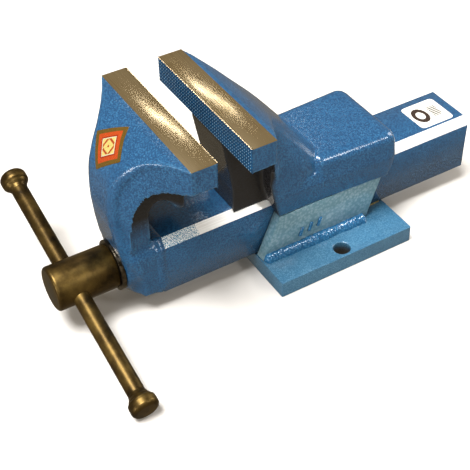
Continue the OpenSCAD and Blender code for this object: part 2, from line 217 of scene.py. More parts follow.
def plain_metal(name, pale, deep, rough, grain_mm=1.5):
    """Turned or drawn bare metal with fine mottling, for the small parts."""
    mat, skin = finish_named(name, Metallic=1.0)
    place = add(mat, "ShaderNodeTexCoord").outputs["Object"]
    fine = add(mat, "ShaderNodeTexNoise", {"Vector": place, "Scale": 1 / (grain_mm * MM), "Detail": 4.0})
    tone = add(mat, "ShaderNodeValToRGB", {0: fine.outputs[0]}, stops=[(0.35, deep), (0.65, pale)])
    gloss = add(mat, "ShaderNodeMapRange", {0: fine.outputs[0], 1: 0.3, 2: 0.7, 3: rough, 4: rough + 0.15})
    bump = add(mat, "ShaderNodeBump", {"Height": fine.outputs[0], "Distance": 0.04 * MM, "Strength": 0.5})
    feed(mat, skin, Base_Color=tone.outputs[0], Roughness=gloss.outputs[0], Normal=bump.outputs[0])
    return mat


enamel = hammertone("hammertone_enamel_on_forging", "467a98", "23537b", "14395a", cell_mm=1.35,
                    depth_mm=0.12, speck=0.75)
plate_enamel = hammertone("hammertone_enamel_on_plate", "7fa6b8", "43718e", "23506f", cell_mm=1.25,
                          speck=0.6)
# the cheeks' enamel is painted paler than the forgings': a painted sheen for the light the cheeks reflect
cheek_enamel_painted_sheen = hammertone("rolled_plate_enamel_painted_sheen", "96b0ba", "6f8f9d", "47707f", cell_mm=2.6,
                          depth_mm=0.03, rough=0.30)
# the beads' own glossy enamel, painted paler than the forgings' as a painted highlight on the beads
weld_enamel = hammertone("enamel_over_weld_bead", "5f9cbd", "2d6c98", "174a72", cell_mm=1.8,
                         depth_mm=0.03, rough=0.14)
tooth_enamel = hammertone("thick_enamel_in_teeth", "2d6187", "17476c", "0c2b47", cell_mm=1.6,
                          depth_mm=0.02, rough=0.24)
tip_enamel = hammertone("enamel_rubbed_thin_on_teeth", "c3d6df", "93b7cb", "5f93b2", cell_mm=1.6,
                        depth_mm=0.02, rough=0.26)
jaw_steel = ground("surface_ground_jaw_steel", "ead8b4", "cfb98f", rough=0.19)
oily_black = blackened("oily_blackened_steel", "4d3c1c", "241b0e", "6b562a")
washer_steel = plain_metal("turned_washer_steel", "6f675a", "3b352b", 0.25, grain_mm=4)
pin_steel = plain_metal("drawn_pin_steel", "cdc9c0", "8b877e", 0.25)
bronze = plain_metal("cast_bronze", "c79a56", "8a6230", 0.35)
brass = plain_metal("wiped_brass_strip", "d8b768", "a17f38", 0.3)
thread_steel = blackened("greased_screw_thread", "6d6048", "2a251c", "a89a78", rough=0.28)

# ---------------------------------------------------------------- building pieces


def put(obj, body, slot, *mats, stands_for=()):
    """Files a finished piece: its body, its materials and the CAD nodes it stands for. slot is not used."""
    obj.data.materials.clear()
    for m in mats:
        obj.data.materials.append(m)
    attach(obj, body)
    if stands_for:
        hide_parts(*stands_for)
    return obj


def in_scene(name, data):
    """A new object in the scene that shows the given mesh, light or camera."""
    obj = bpy.data.objects.new(name, data)
    bpy.context.scene.collection.objects.link(obj)
    return obj


def mesh_from(name, bm):
    """A new mesh with what bm holds."""
    mesh = bpy.data.meshes.new(name)
    bm.to_mesh(mesh)
    bm.free()
    return mesh


def from_data(name, points, faces, crease=None):
    """An object from points and faces. crease is the angle in degrees over which an edge stays sharp;
    without one the faces stay flat."""
    mesh = bpy.data.meshes.new(name)
    mesh.from_pydata([tuple(p) for p in points], [], faces)
    bm = bmesh.new()
    bm.from_mesh(mesh)
    bmesh.ops.recalc_face_normals(bm, faces=bm.faces)
    bm.to_mesh(mesh)
    bm.free()
    if crease:
        shade(mesh, crease)
    return in_scene(name, mesh)


def shade(mesh, crease):
    """Smooth shading, with edges sharper than crease degrees left crisp."""
    mesh.polygons.foreach_set("use_smooth", [True] * len(mesh.polygons))
    mesh.set_sharp_from_angle(angle=math.radians(crease))


def welded_copy(node, name):
    """A copy of a CAD node's mesh with its split points joined."""
    bm = bmesh.new()
    bm.from_mesh(cad[node].data)
    bmesh.ops.remove_doubles(bm, verts=bm.verts, dist=WELD_GAP)
    return in_scene(name, mesh_from(name, bm))


def points_of(mesh):
    """The mesh's points, one row each."""
    co = np.zeros(len(mesh.vertices) * 3)
    mesh.vertices.foreach_get("co", co)
    return co.reshape(-1, 3)


def bake_modifiers(obj):
    """Applies every modifier on obj."""
    graph = bpy.context.evaluated_depsgraph_get()
    done = bpy.data.meshes.new_from_object(obj.evaluated_get(graph))
    obj.modifiers.clear()
    obj.data = done


def ring_sum(values, a, b, count):
    """Sum over each point's neighbours."""
    out = np.empty((count, values.shape[1]))
    for k in range(values.shape[1]):
        out[:, k] = np.bincount(a, values[b, k], count) + np.bincount(b, values[a, k], count)
    return out


SKIN_GRID = 1.15 * MM
MELT_PASSES = 40
# how often the painted shade spreads to its neighbours, and how dark it is at most
SHADE_PASSES = 24
SHADE_MOST = 0.96
# the waves of hand-ground steel: their two lengths, and their height
LONG_WAVE, SHORT_WAVE, WAVE_HEIGHT = 17 * MM, 7 * MM, 0.09 * MM


def forged(node, name, before, hold, shade_at, melt=None, passes=14):
    """The rounded skin of a forging: an even fine mesh over the CAD node, softened everywhere but
    in the held places, with the slow waviness of hand-ground steel. before shapes the points first,
    hold gives how freely each point of the skin may move, 0 to 1, the next function where deep shade
    is painted in, and melt where edges are rounded more."""
    obj = welded_copy(node, name)
    obj.data.vertices.foreach_set("co", before(points_of(obj.data)).ravel())
    skin = obj.modifiers.new("skin", "REMESH")
    skin.mode = "VOXEL"
    skin.voxel_size = SKIN_GRID
    bake_modifiers(obj)
    mesh = obj.data
    co = points_of(mesh)
    edges = np.zeros(len(mesh.edges) * 2, np.int64)
    mesh.edges.foreach_get("vertices", edges)
    a, b = edges[0::2], edges[1::2]
    count = len(co)
    degree = (np.bincount(a, minlength=count) + np.bincount(b, minlength=count))[:, None]
    free = hold(co)[:, None]
    # a step in and a step out each pass, so that the piece softens but does not shrink
    for _ in range(passes):
        for step in (0.62, -0.64):
            co += step * free * (ring_sum(co, a, b, count) / degree - co)
    if melt:
        soft = free * melt(co)[:, None]
        for _ in range(MELT_PASSES):
            co += 0.6 * soft * (ring_sum(co, a, b, count) / degree - co)
    mesh.vertices.foreach_set("co", co.ravel())
    mesh.update()
    normals = np.zeros(count * 3)
    mesh.vertices.foreach_get("normal", normals)
    normals = normals.reshape(-1, 3)
    # how far each point stands out of its neighbours, widened a little: the outer corners
    out = ((co - ring_sum(co, a, b, count) / degree) * normals).sum(1, keepdims=True)
    for _ in range(3):
        out = 0.5 * out + 0.5 * ring_sum(out, a, b, count) / degree
    ridge = np.clip((out[:, 0] / MM - 0.035) / 0.16, 0, 1)
    wave = np.array([noise.noise(Vector(p) / LONG_WAVE) + 0.5 * noise.noise(Vector(p) / SHORT_WAVE)
                     for p in co])
    co -= normals * (WAVE_HEIGHT * (wave[:, None] + 1.2) * free)
    mesh.vertices.foreach_set("co", co.ravel())
    # the painted shade fades out over a few millimetres round the places marked for it
    shade_paint = SHADE_MOST * shade_at(co, normals)[:, None]
    for _ in range(SHADE_PASSES):
        shade_paint = 0.4 * shade_paint + 0.6 * ring_sum(shade_paint, a, b, count) / degree
    shade_paint = np.clip(1.6 * shade_paint - 0.3, 0, SHADE_MOST)
    for kind, values in (("ridge", ridge), ("shade_paint", shade_paint[:, 0])):
        mesh.attributes.new(kind, "FLOAT", "POINT").data.foreach_set("value", values.astype(np.float32))
    shade(mesh, 60)
    return obj


def softened(node, name, width_mm):
    """A copy of a machined or flame-cut piece with its sharp edges broken."""
    obj = welded_copy(node, name)
    broken = obj.modifiers.new("edges", "BEVEL")
    broken.width = width_mm * MM
    broken.segments = 2
    broken.limit_method = "ANGLE"
    broken.angle_limit = math.radians(28)
    broken.use_clamp_overlap = True
    bake_modifiers(obj)
    shade(obj.data, 35)
    return obj


def grid_faces(rows, columns, round_columns=False):
    """Quads over a grid of points, with each row joined up into a ring where asked."""
    faces = []
    for i in range(rows - 1):
        for j in range(columns if round_columns else columns - 1):
            j2 = (j + 1) % columns
            faces.append((i * columns + j, (i + 1) * columns + j,
                          (i + 1) * columns + j2, i * columns + j2))
    return faces


def closed_rings(rows, columns):
    """The faces of a bar made of rings of points, with a cap at each end."""
    return grid_faces(rows, columns, round_columns=True) + [
        tuple(range(columns)), tuple(reversed(range((rows - 1) * columns, rows * columns)))]


def bead(name, path, seed, pitch_mm=3.1):
    """A weld bead along a path. Each path entry is (corner, leg one, leg two): the corner that the
    bead fills and the two ways it spreads, as long as the bead is wide there. It swells and dips
    where each puddle froze, with the crescents leaning back."""
    jitter = np.random.default_rng(seed).uniform(-0.5, 0.5, 400)
    points = []
    across = 9
    walked = 0.0
    for i, (corner, one, two) in enumerate(path):
        if i:
            walked += (corner - path[i - 1][0]).length / MM
        end = min(i, len(path) - 1 - i)
        taper = min(1.0, math.sqrt((end + 0.15) / 3.5))
        for j in range(across):
            t = math.pi / 2 * j / (across - 1)
            lean = 1.6 * math.sin(2 * t)
            beat = (walked + lean) / pitch_mm
            uneven = 0.16 * jitter[int(beat) % len(jitter)] * math.sin(2 * t)
            ripple = 0.09 * math.cos(2 * math.pi * beat) + uneven
            fat = taper * (0.84 + 0.16 * math.sin(2 * t) + ripple * math.sin(2 * t))
            flat = 1 / (abs(math.cos(t)) + abs(math.sin(t)))
            size = fat * (0.45 + 0.55 * flat) if t else fat
            points.append(corner + one * (math.cos(t) * size) + two * (math.sin(t) * size))
        # the ring's last point lies under the corner, inside the plates
        points.append(corner - (one.normalized() + two.normalized()) * 0.2 * MM)
    return from_data(name, points, closed_rings(len(path), across + 1), crease=50)


def along(points, step):
    """Points every step along a broken line."""
    out = []
    for p, q in zip(points, points[1:]):
        n = max(1, round((q - p).length / step))
        out += [p.lerp(q, k / n) for k in range(n)]
    return out + [points[-1]]


# ---------------------------------------------------------------- the forgings

# the depth of the teeth, the height of the gripping faces, the depth of the ground tops, and how far
# below them the painted skin stops
TOOTH_DEPTH, FACE_HEIGHT, JAW_DEPTH, TOP_SKIM = 0.9 * MM, 23.6 * MM, 23 * MM, 0.35 * MM
jaw_lo, jaw_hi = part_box("moving_jaw")
fixed_lo, fixed_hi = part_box("fixed_body")
beam_lo, beam_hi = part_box("slide_beam")
plate_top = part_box("base_plate")[1].z
jaw_top = fixed_hi.z
jaw_low = jaw_top - FACE_HEIGHT


def fixed_before(co):
    """Planes the jaw's top and face back, to leave room for the ground top and the teeth."""
    co = co.copy()
    co[:, 2] = np.minimum(co[:, 2], jaw_top - TOP_SKIM)
    high = co[:, 2] > jaw_low - 1 * MM
    co[high, 0] = np.maximum(co[high, 0], fixed_lo.x + TOOTH_DEPTH)
    return co


def clear_of_jaw(co, behind_face):
    """0 at the jaw's ground top and toothed face, 1 a few millimetres away from them."""
    free = np.clip((jaw_top - TOP_SKIM - co[:, 2]) / (1.6 * MM) - 0.35, 0, 1)
    off_face = np.clip(behind_face / (1.8 * MM) - 0.4, 0, 1)
    return free * np.where(co[:, 2] > jaw_low - 0.5 * MM, off_face, 1)


def fixed_hold(co):
    """Held at the jaw's machined faces and in the slide way, free elsewhere."""
    free = clear_of_jaw(co, co[:, 0] - fixed_lo.x - TOOTH_DEPTH)
    way = (np.abs(co[:, 1]) < beam_hi.y + 1.2 * MM) & (co[:, 2] < beam_hi.z + 1.2 * MM)
    return np.where(way, 0.0, free)


def fixed_shade_at(co, normals):
    """Where deep shade is painted in: the front of the neck under the jaw, and the narrow web there."""
    under = (co[:, 2] < jaw_low - 1 * MM) & (co[:, 0] < fixed_lo.x + 60 * MM)
    web = (np.abs(co[:, 1]) < 26.8 * MM) & (co[:, 0] < fixed_lo.x + 45 * MM)
    return (under & ((normals[:, 0] < -0.25) | web)).astype(float)


fixed = forged("fixed_body", "fixed_jaw_forging", fixed_before, fixed_hold, fixed_shade_at)
put(fixed, "base", "blue_paint", enamel, stands_for=["fixed_body"])


def moving_before(co):
    """The same for the moving jaw."""
    co = co.copy()
    co[:, 2] = np.minimum(co[:, 2], jaw_top - TOP_SKIM)
    high = co[:, 2] > jaw_low - 1 * MM
    co[high, 0] = np.minimum(co[high, 0], jaw_hi.x - TOOTH_DEPTH)
    return co


def moving_hold(co):
    """Held at the jaw's machined faces and where the screw's flange bears, free elsewhere."""
    free = clear_of_jaw(co, jaw_hi.x - TOOTH_DEPTH - co[:, 0])
    return np.where(co[:, 0] < jaw_lo.x + 0.8 * MM, 0.0, free)


def moving_shade_at(co, normals):
    """Where deep shade is painted in: the web inside the curve, above the beam."""
    web = (np.clip((26.2 * MM - np.abs(co[:, 1])) / (1.6 * MM), 0, 1)
           * (co[:, 0] > jaw_hi.x - 58 * MM) * (normals[:, 0] > -0.6))
    high = np.clip((co[:, 2] - beam_hi.z - 4 * MM) / (30 * MM), 0, 1)
    return web * (co[:, 2] < jaw_low + 2 * MM) * high


def moving_melt(co):
    """The stub that carries the beam, and the foot under it."""
    stub = np.clip((beam_lo.x - 3 * MM - co[:, 0]) / (4 * MM), 0, 1)
    return stub * (co[:, 2] < beam_hi.z + 5 * MM) * (co[:, 0] > jaw_lo.x + 5 * MM)


moving = forged("moving_jaw", "moving_jaw_forging", moving_before, moving_hold, moving_shade_at,
                moving_melt, passes=30)
put(moving, "slide", "blue_paint", enamel, stands_for=["moving_jaw"])


def box_piece(name, low, high, bevel):
    """A crisp machined block with its edges just broken."""
    bm = bmesh.new()
    bmesh.ops.create_cube(bm, size=1.0)
    for v in bm.verts:
        v.co = Vector(low[k] + (v.co[k] + 0.5) * (high[k] - low[k]) for k in range(3))
    bmesh.ops.bevel(bm, geom=bm.edges[:], offset=bevel, segments=2, profile=0.5, affect="EDGES")
    mesh = mesh_from(name, bm)
    shade(mesh, 35)
    return in_scene(name, mesh)


for name, body, x0, x1 in (
        ("moving_jaw_ground_top", "slide", jaw_hi.x - JAW_DEPTH, jaw_hi.x - TOOTH_DEPTH),
        ("fixed_jaw_ground_top", "base", fixed_lo.x + TOOTH_DEPTH, fixed_lo.x + JAW_DEPTH)):
    top = box_piece(name, (x0, fixed_lo.y, jaw_top - 0.7 * MM), (x1, fixed_hi.y, jaw_top), 0.18 * MM)
    put(top, body, "bright_steel", jaw_steel)


def tooth_field(name, body, root, way):
    """The crossed teeth of a jaw: rows of small pyramids with flat rubbed tips. The grinding of the
    jaw top cuts through the middle of the top row, so the top edge is toothed. root is where the
    teeth stand and way the sign of the direction they point in."""
    ny, rows, cut_row = 50, 7, 0.5
    y0, wy = fixed_lo.y, (fixed_hi.y - fixed_lo.y) / ny
    wz = FACE_HEIGHT / (rows + cut_row)
    foot, tall = 0.02 * MM, 0.92 * TOOTH_DEPTH
    # half the width of a rubbed tip, in tooth widths
    flat = 0.14
    points, faces = [], []
    marks = {}

    def point(x, y, z):
        key = (round(x / MM, 4), round(y / MM, 4), round(z / MM, 4))
        if key not in marks:
            marks[key] = len(points)
            points.append((root + way * x, y, z))
        return marks[key]

    def ring(x, ya, yb, za, zb):
        return [point(x, y, z) for y, z in ((ya, za), (yb, za), (yb, zb), (ya, zb))]

    for i in range(ny):
        for j in range(rows + 1):
            y1, y2 = y0 + i * wy, y0 + (i + 1) * wy
            z1, z2 = jaw_low + j * wz, jaw_low + (j + 1) * wz
            ya, yb = (y1 + y2) / 2 - flat * wy, (y1 + y2) / 2 + flat * wy
            za, zb = (z1 + z2) / 2 - flat * wz, (z1 + z2) / 2 + flat * wz
            if j < rows:
                corners = ring(foot, y1, y2, z1, z2)
                tip = ring(tall, ya, yb, za, zb)
                faces += [(corners[e], corners[(e + 1) % 4], tip[(e + 1) % 4], tip[e]) for e in range(4)]
                faces.append(tuple(tip))
            else:
                a, b = point(foot, y1, z1), point(foot, y2, z1)
                c, d = point(foot, y2, jaw_top), point(foot, y1, jaw_top)
                e, f = point(tall, ya, za), point(tall, yb, za)
                g, h = point(tall, yb, jaw_top), point(tall, ya, jaw_top)
                faces += [(a, b, f, e), (b, c, g, f), (a, e, h, d), (e, f, g, h), (d, h, g, c)]
    # a thin back, so that the field is a closed plate
    rim = ([point(foot, y0 + i * wy, jaw_low) for i in range(ny + 1)]
           + [point(foot, y0 + ny * wy, jaw_low + j * wz) for j in range(1, rows + 1)]
           + [point(foot, y0 + i * wy, jaw_top) for i in range(ny, -1, -1)]
           + [point(foot, y0, jaw_low + j * wz) for j in range(rows, 0, -1)])
    back = len(points)
    points += [(root - way * 0.6 * MM, points[r][1], points[r][2]) for r in rim]
    n = len(rim)
    faces += [(rim[e], rim[(e + 1) % n], back + (e + 1) % n, back + e) for e in range(n)]
    faces.append(tuple(range(back, back + n)))
    obj = put(from_data(name, points, faces), body, "blue_paint", tooth_enamel, tip_enamel, jaw_steel)
    # the rubbed tips and the ground cut through the top row
    for face in obj.data.polygons:
        if face.normal.z > 0.9 and face.center.z > jaw_top - 0.01 * MM:
            face.material_index = 2
        elif face.normal.x * way > 0.9:
            face.material_index = 1


tooth_field("moving_jaw_teeth", "slide", jaw_hi.x - TOOTH_DEPTH, 1)
tooth_field("fixed_jaw_teeth", "base", fixed_lo.x + TOOTH_DEPTH, -1)

# ---------------------------------------------------------------- base

put(softened("base_plate", "bench_plate", 0.9), "base", "blue_paint", plate_enamel,
    stands_for=["base_plate"])
for node in ("side_plate_near", "side_plate_far"):
    put(softened(node, node.replace("plate", "cheek"), 0.5), "base", "blue_paint", cheek_enamel_painted_sheen,
        stands_for=[node])

# three short raised bars on the near cheek, one beside the other and leaning back, their paint run
# thick and dark
BAR_LEAN, BAR_CORNER, BAR_EDGE = math.radians(20), Vector((1.4, 0.8, 4.7)) * MM, 0.3 * MM
for i in range(3):
    bar = box_piece(f"cheek_bar_{i + 1}", -BAR_CORNER, BAR_CORNER, BAR_EDGE)
    middle = Vector((-29 + 9.5 * i, -40.7, 33 + 1.6 * i)) * MM
    bar.data.transform(Matrix.Translation(middle) @ Matrix.Rotation(BAR_LEAN, 4, "Y"))
    put(bar, "base", "blue_paint", weld_enamel)

# the long welds run along the foot of each cheek's outer face
WELD_FOOT, WELD_START, WELD_END = 40 * MM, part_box("base_welds")[0].x, 41 * MM
WELD_LEG, WELD_STEP = 7.6 * MM, 0.8 * MM
# the cheeks' rear edge, and how far in and out across it the short welds run
CHEEK_REAR, CHEEK_IN, CHEEK_OUT = 42.6 * MM, 30.6 * MM, 39.6 * MM
for side, s in (("near", -1), ("far", 1)):
    line = along([Vector((x, s * WELD_FOOT, plate_top)) for x in (WELD_START, WELD_END)], WELD_STEP)
    rng = np.random.default_rng(7 + s)
    # the bead's legs wander slowly in length
    drift = np.convolve(rng.uniform(-1, 1, len(line) + 14), np.ones(15) / 15, "valid")
    path = [(p, Vector((0, s * WELD_LEG * (1 + 0.5 * d), 0)), Vector((0, 0, WELD_LEG * (1 + 0.4 * d))))
            for p, d in zip(line, drift)]
    put(bead(f"cheek_weld_{side}", path, 11 + s), "base", "blue_paint", weld_enamel,
        stands_for=["base_welds"] if s < 0 else ())
    # a short bead closes the rear edge, whose slope its second leg follows
    line = along([Vector((CHEEK_REAR, s * y, plate_top)) for y in (CHEEK_IN, CHEEK_OUT)], WELD_STEP)
    path = [(p, Vector((4.9 * MM, 0, 0)), Vector((1.3 * MM, 0, 4.2 * MM))) for p in line]
    put(bead(f"rear_weld_{side}", path, 21 + s), "base", "blue_paint", weld_enamel)

# ---------------------------------------------------------------- slide

beam = softened("slide_beam", "slide_beam_box", 0.45)
put(beam, "slide", "blue_paint", enamel, milled_edge(), stands_for=["slide_beam"])
# the two long chamfers are the milled edges
EDGE_REACH, EDGE_LEAST = 7.6 * MM, 100 * MM * MM
for face in beam.data.polygons:
    n = face.normal
    slanted = abs(n.y) > 0.4 and n.z > 0.4 and abs(n.x) < 0.3
    at_edge = face.center.z > beam_hi.z - EDGE_REACH and abs(face.center.y) > beam_hi.y - EDGE_REACH
    if slanted and at_edge and face.area > EDGE_LEAST:
        face.material_index = 1

# round the beam where it is welded to the jaw: up one side, over the top, down the other
BUTT, SEAM_LOW, CHAMFER = beam_lo.x, beam_lo.z + 3 * MM, 7.2 * MM
side_y, top_z = beam_hi.y, beam_hi.z
outline = [Vector((BUTT, y, z)) for y, z in (
    (-side_y, SEAM_LOW), (-side_y, top_z - CHAMFER), (-side_y + CHAMFER, top_z),
    (side_y - CHAMFER, top_z), (side_y, top_z - CHAMFER), (side_y, SEAM_LOW))]


def round_seam(line, seed, wide, high):
    """A flat weld seam that stands a little proud of the surface under it."""
    rng = np.random.default_rng(seed)
    centre = Vector((BUTT, 0, (beam_lo.z + beam_hi.z) / 2))
    points = []
    across = 9
    walked = 0.0
    wander = np.convolve(rng.uniform(-1, 1, len(line) + 8), np.ones(9) / 9, "valid")
    for i, p in enumerate(line):
        if i:
            walked += (p - line[i - 1]).length / MM
        q, r = line[max(i - 1, 0)], line[min(i + 1, len(line) - 1)]
        out = Vector((1, 0, 0)).cross(r - q).normalized()
        if out.dot(p - centre) < 0:
            out.negate()
        taper = min(1.0, math.sqrt((min(i, len(line) - 1 - i) + 0.15) / 4))
        for j in range(across):
            u = 2 * j / (across - 1) - 1
            beat = (walked + 1.4 * (1 - u * u)) / 2.9
            lift = (1 - u * u) * (0.86 + 0.14 * math.cos(2 * math.pi * beat)) * taper
            aside = u * wide * taper * (1 + 0.18 * wander[i]) + 0.5 * MM * wander[i]
            points.append(p + Vector((aside, 0, 0)) + out * (high * lift))
        points.append(p - out * 0.4 * MM)
    return from_data("beam_seam_weld", points, closed_rings(len(line), across + 1), crease=50)


seam = round_seam(along(outline, WELD_STEP), 5, 4.2 * MM, 1.15 * MM)
put(seam, "slide", "blue_paint", enamel, stands_for=["beam_weld"])

# ---------------------------------------------------------------- screw and handle

screw_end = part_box("screw")[1].x
AXIS_Z = 43 * MM
# where the thread starts, its pitch, and its outer and inner radius
THREAD_FROM, PITCH, CREST, ROOT = -146 * MM, 6 * MM, 12 * MM, 9.4 * MM

# the CAD screw is as thick as the thread's crests: behind the start it is turned down to the root
spindle = welded_copy("screw", "screw_spindle")
bm = bmesh.new()
bm.from_mesh(spindle.data)
for x in (THREAD_FROM, THREAD_FROM + 1.5 * MM):
    bmesh.ops.bisect_plane(bm, geom=bm.verts[:] + bm.edges[:] + bm.faces[:], dist=1e-7,
                           plane_co=(x, 0, 0), plane_no=(1, 0, 0))
for v in bm.verts:
    if v.co.x > THREAD_FROM + 1 * MM:
        away = Vector((0, v.co.y, v.co.z - AXIS_Z))
        if away.length > ROOT:
            away *= ROOT / away.length
        v.co.y, v.co.z = away.y, away.z + AXIS_Z
bm.to_mesh(spindle.data)
bm.free()
shade(spindle.data, 35)
put(spindle, "screw", "black_steel", oily_black, stands_for=["screw"])


def thread():
    """Square-shouldered screw thread, one turn every PITCH, run out at both ends."""
    around, step = 48, 0.75 * MM
    steps = int((screw_end - 1.6 * MM - THREAD_FROM) / step)
    # the groove's floor lies just inside the spindle, which shows there instead
    floor_r = ROOT - 0.1 * MM
    points = []
    for i in range(steps + 1):
        x = THREAD_FROM + i * step
        fade = min(1.0, (i * step) / (3 * MM), (steps - i) * step / (2 * MM))
        for j in range(around):
            a = 2 * math.pi * j / around
            u = (x / PITCH - j / around) % 1.0
            tall = min(1.0, max(0.0, (0.31 - abs(u - 0.5)) / 0.09))
            r = floor_r + (CREST - floor_r) * tall * fade
            points.append((x, r * math.cos(a), AXIS_Z + r * math.sin(a)))
    return from_data("screw_thread", points, closed_rings(steps + 1, around), crease=40)


put(thread(), "screw", "black_steel", thread_steel)

# the turned small parts keep their CAD shape
for node, mat in (("retaining_collar", oily_black), ("collar_pin", pin_steel), ("handle_bar", oily_black),
                  ("handle_knob_lower", oily_black), ("handle_knob_upper", oily_black),
                  ("thrust_washer", washer_steel), ("screw_bush", bronze), ("screw_nut", bronze),
                  ("nut_screws", pin_steel), ("wear_strips", brass)):
    for place in cad[node].material_slots:
        place.material = mat

# ---------------------------------------------------------------- labels


def label_sheet(low, high, corner):
    """A thin sheet with rounded corners in its own flat frame, dense enough to lie on a curve."""
    n = 18
    xs = np.linspace(low[0], high[0], n + 1)
    ys = np.linspace(low[1], high[1], n + 1)
    points = []
    for x in xs:
        for y in ys:
            # pull the corner points in on to the rounding
            cx = max(low[0] + corner - x, x - high[0] + corner, 0)
            cy = max(low[1] + corner - y, y - high[1] + corner, 0)
            k = corner / math.hypot(cx, cy) if math.hypot(cx, cy) > corner else 1
            px = x + (0 if k == 1 else math.copysign(cx * (1 - k), (low[0] + high[0]) / 2 - x))
            py = y + (0 if k == 1 else math.copysign(cy * (1 - k), (low[1] + high[1]) / 2 - y))
            points.append(Vector((px, py, 0)))
    return points, grid_faces(n + 1, n + 1), n


LABEL_THICK, LABEL_SUNK = 0.2 * MM, 0.1 * MM


def stuck_on(name, target, centre, up_slope, turn, size, corner):
    """Lays a thin label on a piece's surface. Its local X runs up the slope and Y across the vise,
    both turned by turn degrees."""
    tree = BVHTree.FromObject(target, bpy.context.evaluated_depsgraph_get())
    out = up_slope.cross(Vector((0, 1, 0))).normalized()
    x_way = (Matrix.Rotation(math.radians(turn), 3, out) @ up_slope).normalized()
    y_way = out.cross(x_way)
    frame_of = Matrix((x_way, y_way, out)).transposed().to_4x4()
    frame_of.translation = centre
    flat, faces, n = label_sheet((-size[0] / 2, -size[1] / 2), (size[0] / 2, size[1] / 2), corner)
    upper, lower = [], []
    for p in flat:
        hit = tree.ray_cast(frame_of @ p + out * 30 * MM, -out)[0]
        upper.append(hit + out * LABEL_THICK)
        lower.append(hit - out * LABEL_SUNK)
    count = len(flat)
    m = n + 1
    rim = ([i * m for i in range(m)] + [n * m + j for j in range(1, m)]
           + [i * m + n for i in range(n - 1, -1, -1)] + [j for j in range(n - 1, 0, -1)])
    faces = faces + [tuple(v + count for v in f) for f in faces]
    faces += [(rim[e], rim[(e + 1) % len(rim)], count + rim[(e + 1) % len(rim)], count + rim[e])
              for e in range(len(rim))]
    obj = from_data(name, upper + lower, faces, crease=40)
    # where each point lies on the flat label, for its print
    print_at = obj.data.attributes.new("print_at", "FLOAT_VECTOR", "POINT")
    print_at.data.foreach_set("vector", np.array([tuple(p) for p in flat + flat], np.float32).ravel())
    return obj


def printed_foil():
    """Stamped foil: a dull gold border, a red frame and a bright yellow field of nested squares,
    with the shine of thin metal."""
    mat, skin = finish_named("stamped_foil_label", Metallic=0.65, Coat_Weight=0.4, Coat_Roughness=0.08)
    place = add(mat, "ShaderNodeAttribute", attribute_name="print_at").outputs["Vector"]
    turned = add(mat, "ShaderNodeMapping", {"Vector": place, "Rotation": (0, 0, math.radians(45))})
    split = add(mat, "ShaderNodeSeparateXYZ", {0: place})
    diamond = add(mat, "ShaderNodeSeparateXYZ", {0: turned.outputs[0]})
    reach = []
    for source in (split, diamond):
        ways = [add(mat, "ShaderNodeMath", {0: source.outputs[k]}, operation="ABSOLUTE").outputs[0]
                for k in (0, 1)]
        reach.append(add(mat, "ShaderNodeMath", {0: ways[0], 1: ways[1]}, operation="MAXIMUM").outputs[0])
    square = add(mat, "ShaderNodeMapRange", {0: reach[0], 1: 0.0, 2: 15 * MM})
    field = add(mat, "ShaderNodeValToRGB", {0: square.outputs[0]}, stops=[
        (0.0, "ffe98a"), (0.44, "fbf6d2"), (0.49, "b3341a"), (0.56, "df5a26"), (0.79, "7d6026")])
    field.color_ramp.interpolation = "CONSTANT"
    rings = add(mat, "ShaderNodeMath", {0: reach[1], 1: 2.6 * MM}, operation="PINGPONG")
    inked = add(mat, "ShaderNodeMath", {0: rings.outputs[0], 1: 0.9 * MM}, operation="LESS_THAN")
    inside = add(mat, "ShaderNodeMath", {0: reach[0], 1: 6.4 * MM}, operation="LESS_THAN")
    mask = add(mat, "ShaderNodeMath", {0: inked.outputs[0], 1: inside.outputs[0]}, operation="MULTIPLY")
    art = add(mat, "ShaderNodeMix", {0: mask.outputs[0], 6: field.outputs[0], 7: colour("c8562c")},
              data_type="RGBA")
    # the foil crinkles over the paint under it, about 5 mm from fold to fold
    crinkle = add(mat, "ShaderNodeTexNoise", {"Vector": place, "Scale": 1 / (5 * MM), "Detail": 3.0})
    gloss = add(mat, "ShaderNodeMapRange", {0: crinkle.outputs[0], 1: 0.3, 2: 0.7, 3: 0.18, 4: 0.36})
    bump = add(mat, "ShaderNodeBump", {"Height": crinkle.outputs[0], "Distance": 0.25 * MM,
                                       "Strength": 0.6})
    feed(mat, skin, Base_Color=art.outputs[2], Roughness=gloss.outputs[0], Normal=bump.outputs[0])
    return mat


